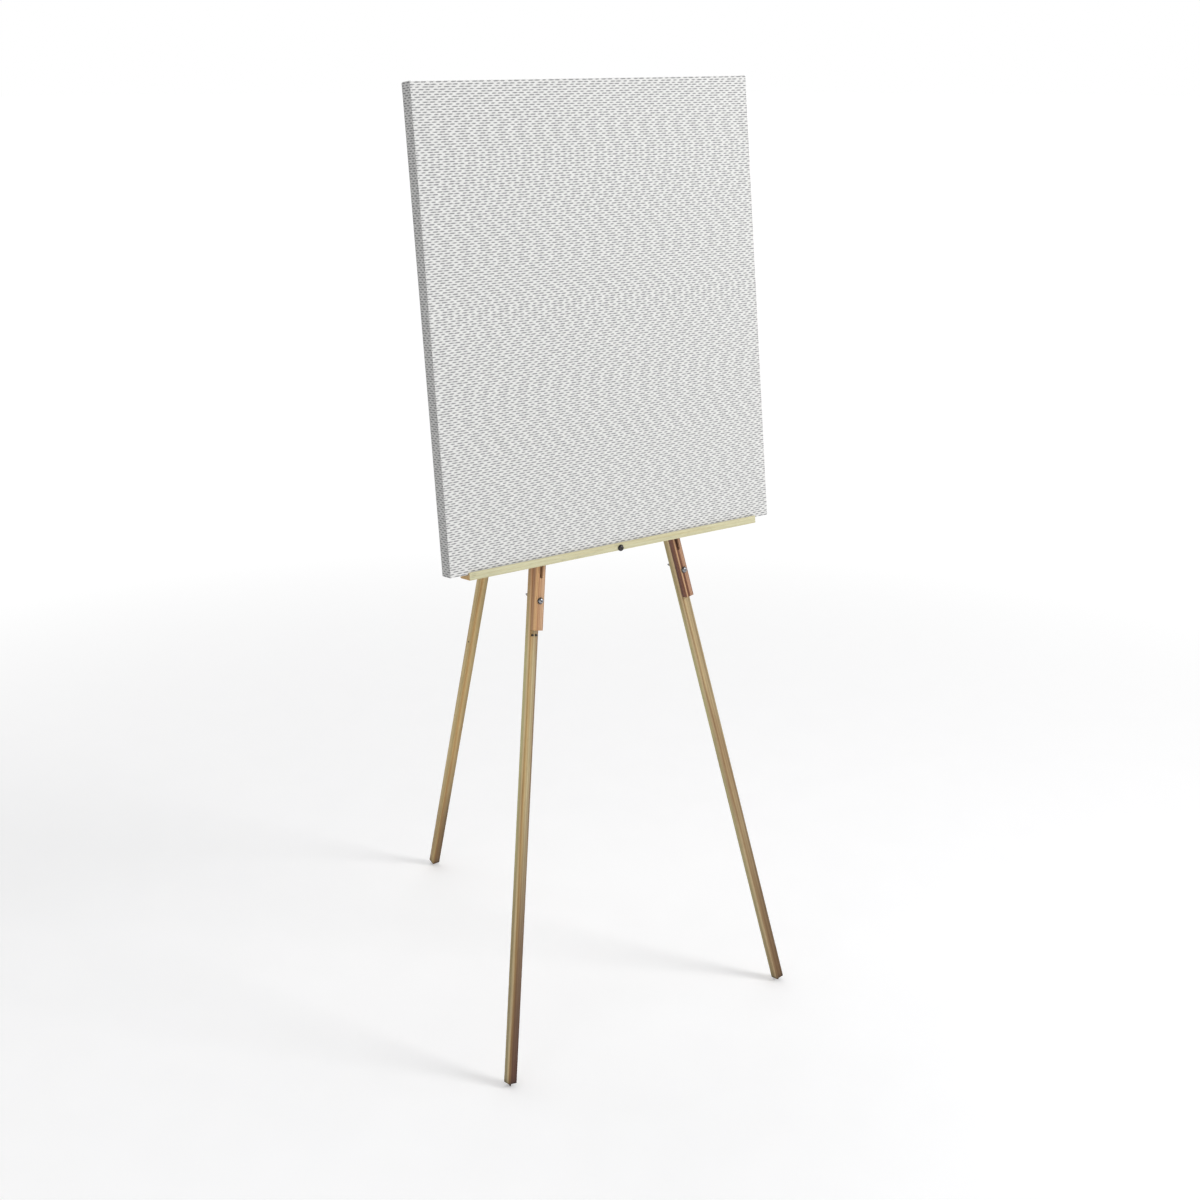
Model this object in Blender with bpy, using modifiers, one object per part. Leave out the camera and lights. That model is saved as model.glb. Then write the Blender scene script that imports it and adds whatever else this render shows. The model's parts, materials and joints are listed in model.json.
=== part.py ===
"""Tripod display easel with telescopic wooden legs, a canvas ledge and a stretched canvas.

Metres, +Z up. The origin is on the floor, under the middle of the whole easel.
+X is the viewer's right, and -Y is the side that the canvas faces.

Five working frames are used, each with X across, Y towards the back and Z along its member:
the plane of the two front legs, the board plane of mast and canvas, and one frame for each leg,
which starts at that leg's foot.
"""

import math

import bmesh
import bpy
from mathutils import Matrix, Vector

# Stance
FRONT_FEET_Y = -0.45366
REAR_FOOT_Y = 0.45534
FOOT_SPREAD = 0.346            # front feet, each side of the middle
FRONT_LEAN = math.radians(9.86)
SPLAY = math.atan(0.180)
BOARD_LEAN = math.radians(6.55)
REAR_MEETING = 1.860           # height up the front plane where the rear leg's line meets it

# Leg sections
LEG_WIDTH = 0.018
LOWER_DEPTH = 0.018
UPPER_DEPTH = 0.016
LOWER_START = 0.008
LOWER_END = 1.262
UPPER_START = 0.902
UPPER_END = 1.855
REAR_UPPER_END = 1.868
SLOT_WIDTH = 0.006
SLOT_PLAY = 0.0006             # slot beyond the bolt's travel, at each end
LEG_TRAVEL = 0.240             # how far the lower section draws out
LOCK_HEIGHT = 0.960            # lock bolt, measured along the leg from its foot
GUIDE_HEIGHT = 1.247
FRONT_PIVOT_HEIGHT = 1.779
REAR_PIVOT_HEIGHT = 1.848
STOP_PIN_DROP = 0.0105         # stop pins, below the end of the upper section

# Mast, head and yoke
MAST_WIDTH = 0.024
MAST_DEPTH = 0.017
MAST_BOTTOM = -0.018
MAST_TOP = 0.885
MAST_SLOT_TOP = 0.250
HEAD_WIDTH = 0.088
HEAD_LOW = 1.712
HEAD_HIGH = 1.842
YOKE_THICKNESS = 0.012
CHEEK_THICKNESS = 0.008
CHEEK_BACK = 0.037             # how far behind the front plane the cheeks reach

# Ledge
LEDGE_LENGTH = 0.692
LEDGE_DEPTH = 0.035
LEDGE_BOTTOM = -0.010
LEDGE_LIP_TOP = 0.005
LEDGE_LIP_THICKNESS = 0.0025
LEDGE_BACK_TOP = -0.005
LEDGE_BOLT_Z = -0.0055

# Canvas
CANVAS_WIDTH = 0.768
CANVAS_HEIGHT = 0.900
CANVAS_DEPTH = 0.030
CANVAS_FOOT = 1.030            # height up the front plane of the canvas's lower back edge
COVER_WALL = 0.001
BAR_WIDTH = 0.040
BRACE_DEPTH = 0.014
KEY_LENGTH = 0.030
KEY_THICKNESS = 0.003

# Fasteners
SHANK = 0.0025
BORE = 0.0028
HEAD_RADIUS = 0.0055
HEAD_RISE = 0.0036
WASHER_RADIUS = 0.0065
WASHER_THICKNESS = 0.001
NUT_HUB = 0.0065
SCREW_LENGTH = 0.040
SCREW_BORE = 0.0022
BOLT_TAIL = 0.0095             # thread beyond the face that the wing nut sits on
GUIDE_SEAT = 0.010             # how deep the guide pin sits in the lower section
STOP_PIN_RADIUS = 0.0021
SPIKE_SHANK = 0.0015
SPIKE_LENGTH = 0.016           # the part of the spike inside the leg
SPIKE_RADIUS = 0.0022
SPIKE_TIP = 0.0010
GAP = 0.0003
BOARD_GAP = 0.0009             # between the front legs and the board plane, at the canvas's foot
ROUND_STEPS = 16


# ---------------------------------------------------------------- scene and materials

def clear_scene():
    for item in list(bpy.data.objects):
        bpy.data.objects.remove(item, do_unlink=True)


def collection(name):
    made = bpy.data.collections.new(name)
    bpy.context.scene.collection.children.link(made)
    return made


clear_scene()
PARTS = collection("tripod_easel")
CUTTERS = collection("cutters")


def material(name, color, roughness, metallic=0.0):
    made = bpy.data.materials.new(name)
    made.use_nodes = True
    shader = made.node_tree.nodes["Principled BSDF"]
    shader.inputs["Base Color"].default_value = (*color, 1.0)
    shader.inputs["Roughness"].default_value = roughness
    shader.inputs["Metallic"].default_value = metallic
    return made


def pine(name):
    return material(name, (0.52, 0.38, 0.18), 0.55)


def redwood(name):
    return material(name, (0.22, 0.09, 0.04), 0.5)


def pale_wood(name):
    return material(name, (0.68, 0.62, 0.36), 0.5)


def steel(name):
    return material(name, (0.55, 0.55, 0.56), 0.25, 1.0)


def dark_steel(name):
    return material(name, (0.05, 0.05, 0.055), 0.4, 1.0)


def cloth(name):
    return material(name, (0.78, 0.78, 0.78), 0.9)


# ---------------------------------------------------------------- frames

def leaning_frame(origin, lean):
    """A frame whose Z leans back by the given angle and whose Y points to the back."""
    return Matrix.Translation(origin) @ Matrix.Rotation(-lean, 4, "X")


def splayed_frame(side):
    """The frame of a front leg, from its foot up towards the head; side is -1 or 1."""
    foot = PLANE @ Matrix.Translation((side * FOOT_SPREAD, 0.0, 0.0))
    return foot @ Matrix.Rotation(-side * SPLAY, 4, "Y")


def rear_frame():
    meeting = PLANE @ Vector((0.0, 0.0, REAR_MEETING))
    lean = math.atan2(REAR_FOOT_Y - meeting.y, meeting.z)
    return leaning_frame((0.0, REAR_FOOT_Y, 0.0), -lean)


PLANE = leaning_frame((0.0, FRONT_FEET_Y, 0.0), FRONT_LEAN)
UPPER_Y = -(LOWER_DEPTH + UPPER_DEPTH) / 2 - GAP
UPPER_FRONT = UPPER_Y - UPPER_DEPTH / 2
BOARD_ORIGIN = PLANE @ Vector((0.0, UPPER_FRONT - BOARD_GAP, CANVAS_FOOT))
BOARD = leaning_frame(BOARD_ORIGIN, BOARD_LEAN)
LEGS = {
    "front_left": splayed_frame(-1),
    "front_right": splayed_frame(1),
    "rear": rear_frame(),
}


def at(x, y, z):
    return Matrix.Translation((x, y, z))


# ---------------------------------------------------------------- mesh makers

def mesh_from(bm, name):
    mesh = bpy.data.meshes.new(name)
    bm.to_mesh(mesh)
    bm.free()
    return mesh


def block_mesh(name, low, high):
    """A box from its low and high corners."""
    bm = bmesh.new()
    bmesh.ops.create_cube(bm, size=1.0)
    size = Vector(high) - Vector(low)
    bmesh.ops.scale(bm, vec=size, verts=bm.verts)
    bmesh.ops.translate(bm, vec=(Vector(low) + Vector(high)) / 2, verts=bm.verts)
    return mesh_from(bm, name)


def rod_mesh(name, radius, length, end_radius=None):
    """A round rod or cone along Z that starts at the origin."""
    bm = bmesh.new()
    top = radius if end_radius is None else end_radius
    bmesh.ops.create_cone(bm, cap_ends=True, segments=ROUND_STEPS,
                          radius1=radius, radius2=top, depth=length)
    bmesh.ops.translate(bm, vec=(0.0, 0.0, length / 2), verts=bm.verts)
    mesh = mesh_from(bm, name)
    mesh.shade_smooth()
    mesh.set_sharp_from_angle(angle=math.radians(40))
    return mesh


def outline_mesh(name, points, thickness):
    """A flat outline in local XY, extruded equally both ways along Z."""
    curve = bpy.data.curves.new(name, "CURVE")
    curve.dimensions = "2D"
    curve.fill_mode = "BOTH"
    curve.extrude = thickness / 2
    spline = curve.splines.new("POLY")
    spline.points.add(len(points) - 1)
    for point, (x, y) in zip(spline.points, points):
        point.co = (x, y, 0.0, 1.0)
    spline.use_cyclic_u = True
    holder = bpy.data.objects.new(name + "_outline", curve)
    bpy.context.scene.collection.objects.link(holder)
    bpy.context.view_layer.update()
    evaluated = holder.evaluated_get(bpy.context.evaluated_depsgraph_get())
    mesh = bpy.data.meshes.new_from_object(evaluated)
    bpy.data.objects.remove(holder, do_unlink=True)
    bm = bmesh.new()
    bm.from_mesh(mesh)
    bmesh.ops.remove_doubles(bm, verts=bm.verts, dist=0.00001)
    bmesh.ops.recalc_face_normals(bm, faces=bm.faces)
    bm.to_mesh(mesh)
    bm.free()
    mesh.name = name
    mesh.materials.clear()
    return mesh


def profile_mesh(name, points, closed=False):
    """A chain of edges in local XZ, for a Screw modifier."""
    bm = bmesh.new()
    verts = [bm.verts.new((x, 0.0, z)) for x, z in points]
    pairs = list(zip(verts, verts[1:]))
    if closed:
        pairs.append((verts[-1], verts[0]))
    for pair in pairs:
        bm.edges.new(pair)
    return mesh_from(bm, name)


# ---------------------------------------------------------------- objects

class Body:
    """An empty on a joint's axis, which carries the pieces that move together."""

    def __init__(self, name, place):
        self.place = place
        self.empty = bpy.data.objects.new("body_" + name, None)
        self.empty.empty_display_size = 0.05
        PARTS.objects.link(self.empty)
        self.empty.matrix_world = place

    def add(self, name, mesh, place, finish):
        part = bpy.data.objects.new(name, mesh)
        PARTS.objects.link(part)
        part.parent = self.empty
        part.matrix_parent_inverse = self.place.inverted()
        part.matrix_basis = place
        mesh.materials.append(finish(name))
        return part


def boolean(part, mesh, place, operation):
    """Cuts a piece, or joins a shape to it, with the EXACT solver."""
    tool = bpy.data.objects.new(part.name + "_cutter", mesh)
    CUTTERS.objects.link(tool)
    tool.matrix_world = place
    tool.hide_render = True
    tool.display_type = "WIRE"
    change = part.modifiers.new(operation.lower(), "BOOLEAN")
    change.operation = operation
    change.solver = "EXACT"
    change.object = tool


def cut(part, mesh, place):
    boolean(part, mesh, place, "DIFFERENCE")


def join(part, mesh, place):
    boolean(part, mesh, place, "UNION")


def turn(part, steps=ROUND_STEPS):
    """Turns a profile into a closed solid with a Screw modifier."""
    screw = part.modifiers.new("turned", "SCREW")
    screw.steps = steps
    screw.render_steps = steps
    screw.use_merge_vertices = True
    screw.merge_threshold = 0.00001


def through_hole(part, place, length, radius=BORE):
    """Drills a round hole along the place's Z, from a little before its origin."""
    margin = 0.002
    drill = rod_mesh(part.name + "_drill", radius, length + 2 * margin)
    cut(part, drill, place @ at(0.0, 0.0, -margin))


def slot_outline(low, high):
    """A long outline with half-round ends, around the local Y axis."""
    half = SLOT_WIDTH / 2
    points = []
    for end, start_angle in ((high, 0.0), (low, math.pi)):
        for step in range(9):
            angle = start_angle + math.pi * step / 8
            points.append((half * math.cos(angle), end + half * math.sin(angle)))
    return points


def slot(part, place, low, high, reach):
    """Cuts a round-ended slot along Z through a piece from front to back."""
    cutter = outline_mesh(part.name + "_slot", slot_outline(low, high), 2 * reach)
    cut(part, cutter, place @ Matrix.Rotation(math.pi / 2, 4, "X"))


def facing_back(place):
    """Turns a frame so that its Z points along the place's Y, to the back."""
    return place @ Matrix.Rotation(-math.pi / 2, 4, "X")


def facing_front(place):
    return place @ Matrix.Rotation(math.pi / 2, 4, "X")


# ---------------------------------------------------------------- fasteners

def bolt(body, name, seat, grip):
    """A round-headed bolt. The seat's Z points along the shank, from under the washer."""
    under_head = -WASHER_THICKNESS - 2 * GAP
    tip = grip + BOLT_TAIL
    dome = []
    for step in range(4):
        angle = math.radians(90 - 26 * step)
        radius = HEAD_RADIUS * math.cos(angle)
        dome.append((radius, -under_head + 0.0008 + (HEAD_RISE - 0.0008) * math.sin(angle)))
    dome[0] = (0.0, dome[0][1])
    shank = [(HEAD_RADIUS, -under_head), (SHANK, -under_head),
             (SHANK, -tip + 0.0006), (SHANK - 0.0006, -tip), (0.0, -tip)]
    flipped = seat @ Matrix.Rotation(math.pi, 4, "X")
    turn(body.add(name, profile_mesh(name, dome + shank), flipped, steel))


def washer(body, name, seat):
    """A flat washer that lies on the seat, on the side away from the seat's Z."""
    low = GAP
    high = GAP + WASHER_THICKNESS
    ring = [(WASHER_RADIUS, high), (WASHER_RADIUS, low), (BORE, low), (BORE, high)]
    flipped = seat @ Matrix.Rotation(math.pi, 4, "X")
    turn(body.add(name, profile_mesh(name, ring, closed=True), flipped, steel))


def wing_nut(body, name, seat, spin=0.0):
    """A wing nut that sits on the seat; the seat's Z points away from the wood."""
    place = seat @ Matrix.Rotation(spin, 4, "Z") @ at(0.0, 0.0, GAP)
    part = body.add(name, rod_mesh(name, 0.0054, NUT_HUB, 0.0042), place, steel)
    half = [(0.0030, 0.0008), (0.0112, 0.0060), (0.0120, 0.0090),
            (0.0112, 0.0122), (0.0085, 0.0126), (0.0040, 0.0058)]
    outline = half + [(-x, z) for x, z in reversed(half)]
    upright = place @ Matrix.Rotation(math.pi / 2, 4, "X")
    join(part, outline_mesh(name + "_wings", outline, 0.0022), upright)
    through_hole(part, place, 0.016)


def wood_screw(body, name, seat, length):
    """A round-headed wood screw; the seat's Z points into the wood, from under the head."""
    profile = [(0.0, 0.0027), (0.0022, 0.0024), (0.0038, 0.0012), (0.0040, GAP),
               (0.0018, GAP), (0.0018, -length + 0.004), (0.0, -length)]
    flipped = seat @ Matrix.Rotation(math.pi, 4, "X")
    turn(body.add(name, profile_mesh(name, profile), flipped, dark_steel), 12)


# ---------------------------------------------------------------- legs

def upper_leg(body, leg, pivot_height, top, pivot_along_x):
    """The upper section, with a bolt hole, a slot for the guide pin and the pivot hole."""
    place = LEGS[leg]
    half = LEG_WIDTH / 2
    low = (-half, UPPER_Y - UPPER_DEPTH / 2, UPPER_START)
    high = (half, UPPER_Y + UPPER_DEPTH / 2, top)
    name = leg + "_upper_leg"
    part = body.add(name, block_mesh(name, low, high), place, redwood)
    through_hole(part, facing_back(place @ at(0.0, UPPER_FRONT, LOCK_HEIGHT)), UPPER_DEPTH)
    slot_low = GUIDE_HEIGHT - LEG_TRAVEL - SLOT_PLAY
    slot(part, place @ at(0.0, UPPER_Y, 0.0), slot_low, GUIDE_HEIGHT + SLOT_PLAY, UPPER_DEPTH)
    if pivot_along_x:
        axis = place @ at(-LEG_WIDTH / 2, UPPER_Y, pivot_height) @ Matrix.Rotation(math.pi / 2, 4, "Y")
        through_hole(part, axis, LEG_WIDTH)
    else:
        axis = facing_back(place @ at(0.0, UPPER_FRONT, pivot_height))
        through_hole(part, axis, UPPER_DEPTH)


def lower_leg(body, leg):
    """The lower section, with a slot for the lock bolt and holes for guide pin and spike."""
    place = LEGS[leg]
    half = LEG_WIDTH / 2
    depth = LOWER_DEPTH / 2
    name = leg + "_lower_leg"
    part = body.add(name, block_mesh(name, (-half, -depth, LOWER_START), (half, depth, LOWER_END)),
                    place, pine)
    slot(part, place, LOCK_HEIGHT - SLOT_PLAY, LOCK_HEIGHT + LEG_TRAVEL + SLOT_PLAY, LOWER_DEPTH)
    guide_hole = facing_back(place @ at(0.0, -depth, GUIDE_HEIGHT))
    through_hole(part, guide_hole, GUIDE_SEAT, BORE)
    spike_drill = rod_mesh(name + "_spike_drill", SPIKE_SHANK + GAP, SPIKE_LENGTH + 2 * GAP)
    cut(part, spike_drill, place @ at(0.0, 0.0, LOWER_START - GAP))
    return part


def guide_pin(body, leg):
    """A dowel in the lower section that runs in the upper section's slot."""
    name = leg + "_guide_pin"
    recess = 0.002
    start = UPPER_FRONT + recess
    length = -LOWER_DEPTH / 2 - start + GUIDE_SEAT
    place = facing_back(LEGS[leg] @ at(0.0, start, GUIDE_HEIGHT))
    body.add(name, rod_mesh(name, SHANK, length), place, steel)


def foot_spike(body, leg):
    """A steel point driven into the end of the leg, which stands on the floor."""
    name = leg + "_foot_spike"
    lean = math.acos(LEGS[leg].col[2].z)
    tip = SPIKE_TIP * math.tan(lean)
    top = LOWER_START + SPIKE_LENGTH - GAP
    collar = LOWER_START - GAP
    profile = [(0.0, top), (SPIKE_SHANK, top), (SPIKE_SHANK, collar), (SPIKE_RADIUS, collar),
               (SPIKE_RADIUS, LOWER_START - 0.0035), (SPIKE_TIP, tip), (0.0, tip)]
    turn(body.add(name, profile_mesh(name, profile), LEGS[leg], dark_steel), 12)


def stop_pins(body, lower, leg):
    """Two small pins in the front of the lower section, a little below the upper one's end."""
    height = UPPER_START - STOP_PIN_DROP
    for side, word in ((-1, "left"), (1, "right")):
        name = leg + "_stop_pin_" + word
        seat = facing_back(LEGS[leg] @ at(side * 0.0044, -LOWER_DEPTH / 2, height))
        through_hole(lower, seat, 0.008, STOP_PIN_RADIUS + GAP)
        body.add(name, rod_mesh(name, STOP_PIN_RADIUS, 0.0105), seat @ at(0.0, 0.0, -0.003), dark_steel)


def leg_lock(upper_body, nut_body, leg):
    """The bolt that clamps the two sections of a leg, with its washer and wing nut."""
    front = facing_back(LEGS[leg] @ at(0.0, UPPER_FRONT, LOCK_HEIGHT))
    grip = LOWER_DEPTH + UPPER_DEPTH + GAP
    bolt(upper_body, leg + "_lock_bolt", front, grip)
    washer(upper_body, leg + "_lock_washer", front)
    wing_nut(nut_body, leg + "_lock_nut", front @ at(0.0, 0.0, grip), math.radians(67))


def build_leg(leg, pivot, top, pivot_along_x):
    place = LEGS[leg]
    upper_body = Body(leg + "_leg", place @ at(0.0, UPPER_Y, pivot))
    upper_leg(upper_body, leg, pivot, top, pivot_along_x)
    lower_body = Body(leg + "_lower", place)
    lower = lower_leg(lower_body, leg)
    guide_pin(lower_body, leg)
    foot_spike(lower_body, leg)
    nut_body = Body(leg + "_nut", place @ at(0.0, LOWER_DEPTH / 2, LOCK_HEIGHT))
    leg_lock(upper_body, nut_body, leg)
    if leg == "front_left":
        stop_pins(lower_body, lower, leg)


# ---------------------------------------------------------------- mast, head and yoke

def mast(body):
    half = MAST_WIDTH / 2
    low = (-half, GAP, MAST_BOTTOM)
    high = (half, GAP + MAST_DEPTH, MAST_TOP)
    part = body.add("mast", block_mesh("mast", low, high), BOARD, pine)
    slot(part, BOARD @ at(0.0, GAP + MAST_DEPTH / 2, 0.0), LEDGE_BOLT_Z, MAST_SLOT_TOP, MAST_DEPTH)
    return part


def mast_back_in_plane(height):
    """How far in front of the leg plane the mast's back face is, at a height up that plane."""
    into_plane = PLANE.inverted() @ BOARD
    low = into_plane @ Vector((0.0, 2 * GAP + MAST_DEPTH, 0.6))
    high = into_plane @ Vector((0.0, 2 * GAP + MAST_DEPTH, 0.9))
    share = (height - low.z) / (high.z - low.z)
    return low.y + share * (high.y - low.y)


def head_block(body):
    """The wedge between the mast's back and the front of the two front legs."""
    back = UPPER_FRONT - GAP
    outline = [(mast_back_in_plane(HEAD_LOW), HEAD_LOW), (back, HEAD_LOW),
               (back, HEAD_HIGH), (mast_back_in_plane(HEAD_HIGH), HEAD_HIGH)]
    to_plane = Matrix(((0, 0, 1, 0), (1, 0, 0, 0), (0, 1, 0, 0), (0, 0, 0, 1)))
    wedge = outline_mesh("head_block", outline, HEAD_WIDTH)
    return body.add("head_block", wedge, PLANE @ to_plane, pine)


def front_pivot(leg):
    """The frame of a front leg's pivot, on the front face of its upper section."""
    return facing_back(LEGS[leg] @ at(0.0, UPPER_FRONT, FRONT_PIVOT_HEIGHT))


def yoke(body):
    """The plate behind the front legs and the two cheeks that hold the rear leg."""
    front = UPPER_Y + UPPER_DEPTH / 2 + GAP
    back = front + YOKE_THICKNESS
    half = HEAD_WIDTH / 2
    slab = block_mesh("yoke_plate", (-half, front, HEAD_LOW), (half, back, HEAD_HIGH))
    plate = body.add("yoke_plate", slab, PLANE, pine)
    axis = rear_pivot_in_plane()
    for side, word in ((-1, "left"), (1, "right")):
        inner = side * (LEG_WIDTH / 2 + 0.0005)
        outer = inner + side * CHEEK_THICKNESS
        low = (min(inner, outer), back + GAP, HEAD_LOW)
        high = (max(inner, outer), CHEEK_BACK, HEAD_HIGH)
        name = "yoke_cheek_" + word
        cheek = body.add(name, block_mesh(name, low, high), PLANE, pine)
        hole = PLANE @ at(low[0], axis.y, axis.z) @ Matrix.Rotation(math.pi / 2, 4, "Y")
        through_hole(cheek, hole, CHEEK_THICKNESS)
    return plate


def rear_pivot_in_plane():
    pivot = LEGS["rear"] @ Vector((0.0, UPPER_Y, REAR_PIVOT_HEIGHT))
    return PLANE.inverted() @ pivot


def front_pivot_hardware(body, block, plate):
    """The bolts that the front legs turn on, through head block, leg and yoke plate."""
    block_depth = 0.036
    for side, leg in ((-1, "front_left"), (1, "front_right")):
        pivot = front_pivot(leg)
        through_hole(block, pivot @ at(0.0, 0.0, -block_depth), block_depth)
        through_hole(plate, pivot @ at(0.0, 0.0, UPPER_DEPTH), YOKE_THICKNESS + 0.001)
        here = PLANE.inverted() @ pivot.translation
        front = mast_back_in_plane(here.z) - 0.0010
        seat = pivot @ at(0.0, 0.0, front - UPPER_FRONT)
        grip = UPPER_FRONT - front + UPPER_DEPTH + GAP + YOKE_THICKNESS
        bolt(body, leg + "_pivot_bolt", seat, grip)
        washer(body, leg + "_pivot_washer", seat)
        nut_seat = seat @ at(0.0, 0.0, grip)
        nut_body = Body(leg + "_pivot_nut", nut_seat)
        wing_nut(nut_body, leg + "_pivot_nut", nut_seat, math.radians(20 * side))


def rear_pivot_hardware(body):
    """The cross bolt that the rear leg turns on, through both cheeks."""
    axis = rear_pivot_in_plane()
    reach = LEG_WIDTH / 2 + 0.0005 + CHEEK_THICKNESS
    seat = PLANE @ at(-reach, axis.y, axis.z) @ Matrix.Rotation(math.pi / 2, 4, "Y")
    grip = 2 * reach
    bolt(body, "rear_pivot_bolt", seat, grip)
    washer(body, "rear_pivot_washer", seat)
    nut_seat = seat @ at(0.0, 0.0, grip)
    nut_body = Body("rear_pivot_nut", nut_seat)
    wing_nut(nut_body, "rear_pivot_nut", nut_seat, math.radians(25))


def head_screws(body, mast_part, block):
    """Two screws from the back of the head block into the mast."""
    length = SCREW_LENGTH
    for height, word in ((1.752, "lower"), (1.812, "upper")):
        seat = facing_front(PLANE @ at(0.0, UPPER_FRONT - GAP, height))
        through_hole(block, seat, length, SCREW_BORE)
        cut(mast_part, rod_mesh("pilot_" + word, SCREW_BORE, length + GAP), seat)
        wood_screw(body, "head_screw_" + word, seat, length)


def build_head():
    body = Body("head", PLANE @ at(0.0, 0.0, HEAD_LOW))
    mast_part = mast(body)
    block = head_block(body)
    plate = yoke(body)
    head_screws(body, mast_part, block)
    front_pivot_hardware(body, block, plate)
    rear_pivot_hardware(body)


# ---------------------------------------------------------------- ledge

def build_ledge():
    """The canvas ledge: a long moulding with a front lip, clamped to the mast."""
    body = Body("ledge", BOARD)
    front = -LEDGE_DEPTH - GAP
    outline = [(front, LEDGE_BOTTOM), (-GAP, LEDGE_BOTTOM), (-GAP, LEDGE_BACK_TOP),
               (-CANVAS_DEPTH - 0.0004, -0.0004), (front + LEDGE_LIP_THICKNESS, LEDGE_LIP_TOP),
               (front, LEDGE_LIP_TOP)]
    across = Matrix(((0, 0, 1, 0), (1, 0, 0, 0), (0, 1, 0, 0), (0, 0, 0, 1)))
    part = body.add("ledge", outline_mesh("ledge", outline, LEDGE_LENGTH), BOARD @ across, pale_wood)
    seat = facing_back(BOARD @ at(0.0, front, LEDGE_BOLT_Z))
    through_hole(part, seat, LEDGE_DEPTH)
    grip = LEDGE_DEPTH + 2 * GAP + MAST_DEPTH
    bolt(body, "ledge_bolt", seat, grip)
    washer(body, "ledge_washer", seat)
    nut_seat = seat @ at(0.0, 0.0, grip)
    nut_body = Body("ledge_nut", nut_seat)
    wing_nut(nut_body, "ledge_nut", nut_seat, math.radians(15))


# ---------------------------------------------------------------- canvas

def canvas_cover(body):
    half = CANVAS_WIDTH / 2
    wall = COVER_WALL
    outer = block_mesh("canvas_cover", (-half, -CANVAS_DEPTH, 0.0), (half, 0.0, CANVAS_HEIGHT))
    part = body.add("canvas_cover", outer, BOARD, cloth)
    hollow = block_mesh("cover_hollow", (-half + wall, -CANVAS_DEPTH + wall, wall),
                        (half - wall, 0.01, CANVAS_HEIGHT - wall))
    cut(part, hollow, BOARD)


def mitred_bar(body, name, length, place):
    """A stretcher bar along X with mitred ends; its outer edge is at Z 0."""
    outline = [(-length / 2, 0.0), (length / 2, 0.0),
               (length / 2 - BAR_WIDTH, BAR_WIDTH), (-length / 2 + BAR_WIDTH, BAR_WIDTH)]
    depth = CANVAS_DEPTH - COVER_WALL - GAP
    upright = place @ at(0.0, -depth / 2, 0.0) @ Matrix.Rotation(math.pi / 2, 4, "X")
    body.add(name, outline_mesh(name, outline, depth), upright, pine)


def stretcher(body):
    inset = COVER_WALL + GAP
    wide = CANVAS_WIDTH / 2 - inset
    tall = CANVAS_HEIGHT - inset
    middle = CANVAS_HEIGHT / 2
    mitre_gap = 2 * GAP
    across = 2 * wide - mitre_gap
    upright = tall - inset - mitre_gap
    mitred_bar(body, "stretcher_bottom", across, BOARD @ at(0.0, 0.0, inset))
    top = BOARD @ at(0.0, 0.0, tall) @ Matrix.Rotation(math.pi, 4, "Y")
    mitred_bar(body, "stretcher_top", across, top)
    left = BOARD @ at(-wide, 0.0, middle) @ Matrix.Rotation(math.pi / 2, 4, "Y")
    mitred_bar(body, "stretcher_left", upright, left)
    right = BOARD @ at(wide, 0.0, middle) @ Matrix.Rotation(-math.pi / 2, 4, "Y")
    mitred_bar(body, "stretcher_right", upright, right)


def brace(body):
    """The bar across the middle of the stretcher."""
    half = CANVAS_WIDTH / 2 - COVER_WALL - 2 * GAP - BAR_WIDTH
    middle = CANVAS_HEIGHT / 2
    mesh = block_mesh("stretcher_brace", (-half, -BRACE_DEPTH - 0.004, middle - BAR_WIDTH / 2),
                      (half, -0.004, middle + BAR_WIDTH / 2))
    body.add("stretcher_brace", mesh, BOARD, pine)


def corner_keys(body):
    """Two thin wedges at each inner corner, one against each bar."""
    inner_x = CANVAS_WIDTH / 2 - COVER_WALL - 2 * GAP - BAR_WIDTH
    inner_z = CANVAS_HEIGHT / 2 - COVER_WALL - 2 * GAP - BAR_WIDTH
    wedge = [(0.0, 0.0), (KEY_LENGTH, 0.0), (0.0, 0.012)]
    swapped = [(0.0, 0.0), (0.012, 0.0), (0.0, KEY_LENGTH)]
    centre = BOARD @ at(0.0, 0.0, CANVAS_HEIGHT / 2)
    for row, sign_z in (("bottom", -1), ("top", 1)):
        for column, sign_x in (("left", -1), ("right", 1)):
            for word, outline, depth in (("flat", wedge, -0.017), ("tall", swapped, -0.009)):
                name = "key_" + row + "_" + column + "_" + word
                points = [(sign_x * (inner_x - x), sign_z * (inner_z - z)) for x, z in outline]
                place = centre @ at(0.0, depth, 0.0) @ Matrix.Rotation(math.pi / 2, 4, "X")
                body.add(name, outline_mesh(name, points, KEY_THICKNESS), place, pale_wood)


def build_canvas():
    body = Body("canvas", BOARD)
    canvas_cover(body)
    stretcher(body)
    brace(body)
    corner_keys(body)


build_head()
build_leg("front_left", FRONT_PIVOT_HEIGHT, UPPER_END, False)
build_leg("front_right", FRONT_PIVOT_HEIGHT, UPPER_END, False)
build_leg("rear", REAR_PIVOT_HEIGHT, REAR_UPPER_END, True)
build_ledge()
build_canvas()
bpy.context.view_layer.update()
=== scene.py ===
"""The looks of the tripod display easel: wood grain, steel fittings and a ribbed stretched canvas.

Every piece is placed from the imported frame. Each wooden piece's own Z runs along its grain.
"""

import json
import math
import random

import bmesh
import bpy
from mathutils import Matrix, Vector

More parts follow.
